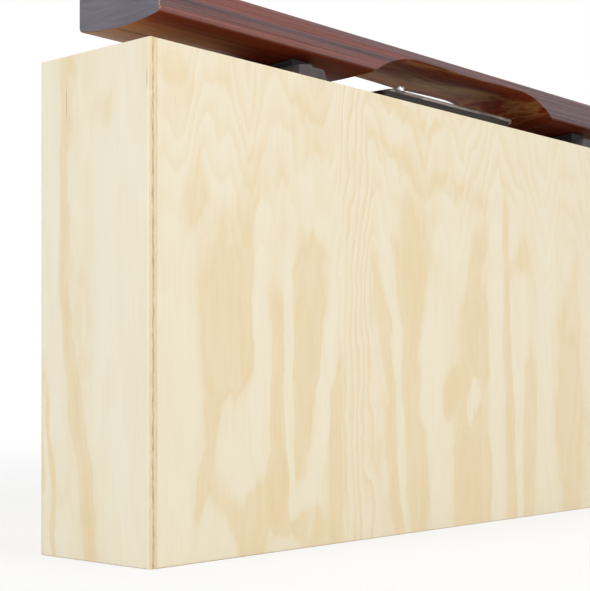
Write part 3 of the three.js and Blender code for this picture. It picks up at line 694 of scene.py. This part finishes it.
# Pins with their rubber sleeves
def pin_and_sleeve(end):
    point, blunt, rounding = 4 * MM, 0.5 * MM, 0.6 * MM
    x, y, radius, foot, top = round_node(f"{end}_bar_pin")
    pin = turned(f"{end}_bar_pin_turned", [
        (0, foot), (blunt, foot + rounding * 0.5), (radius, foot + point),
        (radius, top - rounding), (radius - rounding * 0.4, top - rounding * 0.3),
        (radius - rounding, top), (0, top)], x, y)
    finished(plain(pin), zinc_steel, "resonator", "steel", f"{end}_bar_pin")
    inner, dome_height, cap = 2.8 * MM, 1.5 * MM, 1.6 * MM
    _, _, radius, foot, top = round_node(f"{end}_pin_sleeve")
    eased = (radius - inner) * 0.3
    dome = [(radius * math.cos(math.radians(angle)),
             top - dome_height + dome_height * math.sin(math.radians(angle))) for angle in range(0, 90, 10)]
    sleeve = turned(f"{end}_pin_sleeve_moulded", [
        (0, top - cap), (inner, top - cap), (inner, foot + eased), (inner + eased, foot),
        (radius - eased, foot), (radius, foot + eased), *dome, (0, top)], x, y)
    finished(plain(sleeve, 40), black_rubber, "resonator", "black_rubber", f"{end}_pin_sleeve")


# Inserts and washers. A washer has a hair of play over the plate, which slides under it.
def insert_and_washer(end):
    bore, eased, groove = 2.8 * MM, 0.25 * MM, 0.25 * MM
    ribs, lowest_rib, rib_pitch = 7, 1.2, 1.1
    x, y, radius, foot, top = round_node(f"{end}_insert")
    ring = [(bore, foot + eased), (bore + eased, foot), (radius - eased, foot), (radius, foot + eased)]
    for rib in range(ribs):
        z = foot + (lowest_rib + rib * rib_pitch) * MM
        ring += [(radius, z), (radius - groove, z + 0.2 * MM), (radius - groove, z + 0.5 * MM),
                 (radius, z + 0.7 * MM)]
    ring += [(radius, top - eased), (radius - eased, top), (bore + eased, top), (bore, top - eased),
             ring[0]]
    made = turned(f"{end}_insert_ribbed", ring, x, y)
    finished(plain(made), brass, "resonator", "brass", f"{end}_insert")

    eased, play = 0.2 * MM, 0.03 * MM
    _, _, radius, foot, top = round_node(f"{end}_washer")
    foot += play
    ring = [(bore, foot), (radius - eased / 2, foot), (radius, foot + eased / 2), (radius, top - eased),
            (radius - eased, top), (bore + eased, top), (bore, top - eased), (bore, foot)]
    made = turned(f"{end}_washer_stamped", ring, x, y)
    finished(plain(made), zinc_steel, f"{end}_clamp", "steel", f"{end}_washer")


# Slotted screws by Geometry Nodes: a shank with a point and a swept thread, a head, and a slot
# turned at random. Its points are the middles of the heads' tops.
def slotted_screws_tree():
    tree = bpy.data.node_groups.new("slotted screws", "GeometryNodeTree")
    tree.interface.new_socket("Geometry", in_out="INPUT", socket_type="NodeSocketGeometry")
    for name in ("Length", "Shank Radius", "Point Length", "Pitch", "Thread Depth", "Head Radius",
                 "Head Height", "Neck Radius", "Slot Width", "Slot Depth"):
        tree.interface.new_socket(name, in_out="INPUT", socket_type="NodeSocketFloat")
    tree.interface.new_socket("Finish", in_out="INPUT", socket_type="NodeSocketMaterial")
    tree.interface.new_socket("Geometry", in_out="OUTPUT", socket_type="NodeSocketGeometry")
    size = tree.nodes.new("NodeGroupInput").outputs

    def lowered(mesh, depth):
        """The mesh moved down from its point."""
        down = add(tree, "ShaderNodeMath", {0: 0.0, 1: depth}, operation="SUBTRACT")
        place = add(tree, "ShaderNodeCombineXYZ", {2: down})
        return add(tree, "GeometryNodeTransform", {"Geometry": mesh, "Translation": place})

    into_head, point_tip = 0.2 * MM, 0.1 * MM
    core = add(tree, "ShaderNodeMath", {0: size["Shank Radius"], 1: size["Thread Depth"]},
               operation="SUBTRACT")
    straight = add(tree, "ShaderNodeMath", {0: size["Length"], 1: size["Point Length"]},
                   operation="SUBTRACT")
    shank_length = add(tree, "ShaderNodeMath", {0: straight, 1: size["Head Height"]},
                       operation="SUBTRACT")
    shank_depth = add(tree, "ShaderNodeMath", {0: shank_length, 1: into_head}, operation="ADD")
    shank = add(tree, "GeometryNodeMeshCone", {
        "Vertices": 24, "Radius Top": core, "Radius Bottom": core, "Depth": shank_depth})
    point = add(tree, "GeometryNodeMeshCone", {
        "Vertices": 24, "Radius Top": core, "Radius Bottom": point_tip, "Depth": size["Point Length"]})
    turns = add(tree, "ShaderNodeMath", {0: shank_length, 1: size["Pitch"]}, operation="DIVIDE")
    spiral = add(tree, "GeometryNodeCurveSpiral", {
        "Resolution": 20, "Rotations": turns, "Start Radius": core, "End Radius": core,
        "Height": shank_length})
    tooth = add(tree, "GeometryNodeCurvePrimitiveCircle", {"Resolution": 3, "Radius": size["Thread Depth"]})
    thread = add(tree, "GeometryNodeCurveToMesh", {
        "Curve": spiral, "Profile Curve": tooth, "Fill Caps": True})
    head = add(tree, "GeometryNodeMeshCone", {
        "Vertices": 48, "Radius Top": size["Head Radius"], "Radius Bottom": size["Neck Radius"],
        "Depth": size["Head Height"]})
    groove_length = add(tree, "ShaderNodeMath", {0: size["Head Radius"], 1: 3.0}, operation="MULTIPLY")
    groove_height = add(tree, "ShaderNodeMath", {0: size["Slot Depth"], 1: 2.0}, operation="MULTIPLY")
    groove_size = add(tree, "ShaderNodeCombineXYZ", {
        0: groove_length, 1: size["Slot Width"], 2: groove_height})
    groove = add(tree, "GeometryNodeMeshCube", {"Size": groove_size})
    slotted = add(tree, "GeometryNodeMeshBoolean", {0: lowered(head, size["Head Height"]), 1: groove},
                  operation="DIFFERENCE", solver="EXACT")
    joined = tree.nodes.new("GeometryNodeJoinGeometry")
    for part in (slotted, lowered(shank, straight), lowered(point, size["Length"]),
                 lowered(thread, straight)):
        tree.links.new(result(part), joined.inputs[0])
    angle = add(tree, "FunctionNodeRandomValue", {0: (0, 0, 0), 1: (0, 0, math.tau), "Seed": 7},
                data_type="FLOAT_VECTOR")
    rotation = add(tree, "FunctionNodeEulerToRotation", {0: angle})
    placed = add(tree, "GeometryNodeInstanceOnPoints", {
        "Points": size["Geometry"], "Instance": joined, "Rotation": rotation})
    real = add(tree, "GeometryNodeRealizeInstances", {"Geometry": placed})
    dressed = add(tree, "GeometryNodeSetMaterial", {"Geometry": real, "Material": size["Finish"]})
    tree.links.new(result(dressed), tree.nodes.new("NodeGroupOutput").inputs[0])
    return tree


screws_tree = slotted_screws_tree()


def slotted_screws(name, body, cad_nodes, sizes, ease_by):
    """One mesh of screws that stand where the CAD nodes are. sizes: the tree's named inputs, mm."""
    standing = [round_node(node) for node in cad_nodes]
    mesh = bpy.data.meshes.new(name)
    mesh.from_pydata([(x, y, top) for x, y, _, _, top in standing], [], [])
    made = new_object(name, mesh)
    _, _, head_radius, foot, top = standing[0]
    modifier = made.modifiers.new("screws", "NODES")
    modifier.node_group = screws_tree
    values = {"Length": top - foot, "Head Radius": head_radius,
              **{key: value * MM for key, value in sizes.items()}, "Finish": zinc_steel}
    for item in screws_tree.interface.items_tree:
        if item.item_type == "SOCKET" and item.in_out == "INPUT" and item.name in values:
            modifier[item.identifier] = values[item.name]
    ease(made, ease_by, above=40)
    return finished(plain(made, 40), zinc_steel, body, "steel", *cad_nodes)


wood_screw = {"Shank Radius": 1.75, "Point Length": 3, "Pitch": 1.6, "Thread Depth": 0.35,
              "Head Height": 2.5, "Neck Radius": 1.5, "Slot Width": 1, "Slot Depth": 1}
clamp_screw = {"Shank Radius": 2.5, "Point Length": 0.6, "Pitch": 0.8, "Thread Depth": 0.3,
               "Head Height": 3, "Neck Radius": 5.5, "Slot Width": 1.25, "Slot Depth": 1.25}
slotted_screws("collar_screws_threaded", "resonator", [f"collar_screw_{number}" for number in range(1, 5)],
               wood_screw, 0.08 * MM)
slotted_screws("support_screws_threaded", "resonator",
               [f"{side}_{end}_support_screw" for end in ("left", "right") for side in ("front", "back")],
               wood_screw, 0.08 * MM)
for end in ("left", "right"):
    felt_pad(end)
    pin_and_sleeve(end)
    insert_and_washer(end)
    slotted_screws(f"{end}_clamp_screw_threaded", f"{end}_clamp", [f"{end}_clamp_screw"],
                   clamp_screw, 0.25 * MM)


# Sound bar: rounded belly, slight crown, arch with its two scoops, all smoother than the CAD solid
def arc_rise(y, width, rise):
    """How high a shallow arc across a width stands at y."""
    radius = (width * width / 4 + rise * rise) / (2 * rise)
    return rise - radius + math.sqrt(radius * radius - y * y)


def curve_points(a, b, c, steps):
    """Points of a quadratic curve from a towards b to c, without its first."""
    shares = [step / steps for step in range(1, steps + 1)]
    return [tuple((1 - s) ** 2 * p + 2 * s * (1 - s) * q + s * s * r for p, q, r in zip(a, b, c))
            for s in shares]


def drawn_prism(name, outline_mm, low, high, axis):
    """A closed outline drawn out along X or Y, from low to high. All in millimetres."""
    shape = bmesh.new()
    rings = []
    for end in (low, high):
        ring = [(end, a, b) if axis == "x" else (a, end, b) for a, b in outline_mm]
        rings.append([shape.verts.new(Vector(place) * MM) for place in ring])
    count = len(outline_mm)
    for step in range(count):
        after = (step + 1) % count
        shape.faces.new((rings[0][step], rings[0][after], rings[1][after], rings[1][step]))
    shape.faces.new(rings[0])
    shape.faces.new(rings[1])
    bmesh.ops.recalc_face_normals(shape, faces=shape.faces)
    mesh = bpy.data.meshes.new(name)
    shape.to_mesh(mesh)
    shape.free()
    return new_object(name, mesh)


def sound_bar():
    low, high = corners("sound_bar")
    length, width = (high.x - low.x) / MM, (high.y - low.y) / MM
    foot, top, side, belly, crown = 389.25, 415.25, 3.5, 4.25, 2.0
    strips, corner_steps = 28, 6
    half = width / 2
    across = [(half - side) * (2 * step / strips - 1) for step in range(strips + 1)]
    under = [(y, foot - arc_rise(y, width, belly)) for y in across]
    over = [(y, top + arc_rise(y, width, crown)) for y in reversed(across)]
    section = [(-half, foot + side)]
    for start, corner, end, after in [
            ((-half, foot + side), (-half, foot), under[0], under[1:]),
            (under[-1], (half, foot), (half, foot + side), [(half, top - side)]),
            ((half, top - side), (half, top), over[0], over[1:]),
            (over[-1], (-half, top), (-half, top - side), [])]:
        section += [*curve_points(start, corner, end, corner_steps), *after]
    bar = drawn_prism("sound_bar_planed", section, -length / 2, length / 2, "x")
    ease(bar, 1.5 * MM, 4, 60)

    # Arch: two ramps, a scoop at the top of each, and a roof that rises towards the back
    arch, ramp, depth, scoop, back_rise = 143.0, 66.0, 18.0, 19.25, 2.5
    lean_share, scoop_share, ramp_steps, scoop_steps, past = 0.42, 0.85, 18, 10, 5
    below, lean, flat = belly + back_rise + past, ramp * lean_share, arch - ramp
    spread, reach = below * lean / scoop, flat * scoop_share
    outline = [(-arch - spread, foot - below), (arch + spread, foot - below), (arch, foot),
               *curve_points((arch, foot), (arch - lean, foot + scoop), (flat, foot + scoop), ramp_steps),
               *curve_points((flat, foot + scoop), (flat - reach / 2, foot + scoop),
                             (flat - reach, foot + depth), scoop_steps)]
    outline += [(-x, z) for x, z in reversed(outline[2:])]
    tools = [drawn_prism("arch_tool", outline, -half - past, half + past, "y")]
    for vertex in tools[0].data.vertices:
        vertex.co.z += back_rise * MM * (vertex.co.y / (width * MM) + 0.5)

    # The two holes that the pins stand in
    hole_place, hole_radius, hole_foot, hole_top = 219 * MM, 6.0 * MM, 370 * MM, 430 * MM
    for sign in (-1, 1):
        tools.append(turned("hole_tool", [(0, hole_foot), (hole_radius, hole_foot),
                                          (hole_radius, hole_top), (0, hole_top)], sign * hole_place, 0))
    plain(ease(cut(bar, *tools), 0.45 * MM, 2, 40), 30)
    discard(*tools)
    finished(bar, bar_wood, "bar", "rosewood", "sound_bar")


sound_bar()


# Floor, lamps and background
def background_rays(tree):
    """1 for what the camera, metal and glass show, and 0 for light that falls on the object."""
    path = add(tree, "ShaderNodeLightPath").outputs
    seen = add(tree, "ShaderNodeMath", {0: path["Is Camera Ray"], 1: path["Is Glossy Ray"]},
               operation="MAXIMUM")
    return add(tree, "ShaderNodeMath", {0: seen, 1: path["Is Transmission Ray"]}, operation="MAXIMUM")


def studio_floor():
    """Plain white from far_from on. Nearer, its lit surface shows through and keeps the shadow."""
    reach, near_to, far_from, white_near = 6, 0.5, 1.6, 0.58
    floor = new_object("studio_floor", bpy.data.meshes.new("studio_floor"))
    floor.data.from_pydata([(-reach, -reach, 0), (reach, -reach, 0), (reach, reach, 0), (-reach, reach, 0)],
                           [], [(0, 1, 2, 3)])
    pale = bpy.data.materials.new("pale_studio_floor")
    pale.use_nodes = True
    tree = pale.node_tree
    tree.nodes.clear()
    seen = background_rays(tree)
    place = add(tree, "ShaderNodeTexCoord").outputs["Object"]
    distance = add(tree, "ShaderNodeVectorMath", {0: place}, operation="LENGTH").outputs["Value"]
    whiteness = add(tree, "ShaderNodeMapRange",
                    {0: distance, 1: near_to, 2: far_from, 3: white_near, 4: 1.0})
    share = add(tree, "ShaderNodeMath", {0: seen, 1: whiteness}, operation="MULTIPLY")
    matt = add(tree, "ShaderNodeBsdfDiffuse", {"Color": linear(0.92)})
    white = add(tree, "ShaderNodeEmission", {"Color": linear(1.0), "Strength": 1.0})
    mixed = add(tree, "ShaderNodeMixShader", {0: share, 1: matt, 2: white})
    add(tree, "ShaderNodeOutputMaterial", {"Surface": mixed})
    floor.data.materials.append(pale)


def studio_light():
    world = bpy.data.worlds.new("soft white studio")
    bpy.context.scene.world = world
    world.use_nodes = True
    tree = world.node_tree
    tree.nodes.clear()
    dome = add(tree, "ShaderNodeBackground", {"Color": linear(1.0), "Strength": 0.5})
    backdrop = add(tree, "ShaderNodeBackground", {"Color": linear(1.0), "Strength": 1.0})
    mixed = add(tree, "ShaderNodeMixShader", {0: background_rays(tree), 1: dome, 2: backdrop})
    add(tree, "ShaderNodeOutputWorld", {"Surface": mixed})

    aimed_at = Vector((0, 0, 0.2))
    for name, place, size, watts in [("front softbox", (0.3, -3.0, 1.6), 2.4, 36),
                                     ("left softbox", (-3.1, -0.2, 2.2), 2.2, 43),
                                     ("top softbox", (0.2, 0.4, 3.2), 2.6, 24)]:
        lamp = bpy.data.lights.new(name, "AREA")
        lamp.size, lamp.energy = size, watts
        made = new_object(name, lamp)
        made.location = place
        made.rotation_euler = (aimed_at - Vector(place)).to_track_quat("-Z", "Y").to_euler()


studio_floor()
studio_light()
bpy.context.scene.view_settings.view_transform = "Standard"

# Camera: level, a little under the middle of the box's height, looking to the right and back at
# 41.6 degrees from the bar. The lens is 1356 px long on the photo's 591 px, and the shift keeps the
# upright edges upright while the bar stays in view.
camera_data = bpy.data.cameras.new("camera")
camera_data.lens, camera_data.sensor_width, camera_data.shift_y = 82.606, 36, 0.1418
camera = new_object("camera", camera_data)
camera.location = (-1.0396, -0.7491, 0.1302)
camera.rotation_euler = Vector((0.748, 0.6636, 0)).to_track_quat("-Z", "Y").to_euler()
bpy.context.scene.camera = camera
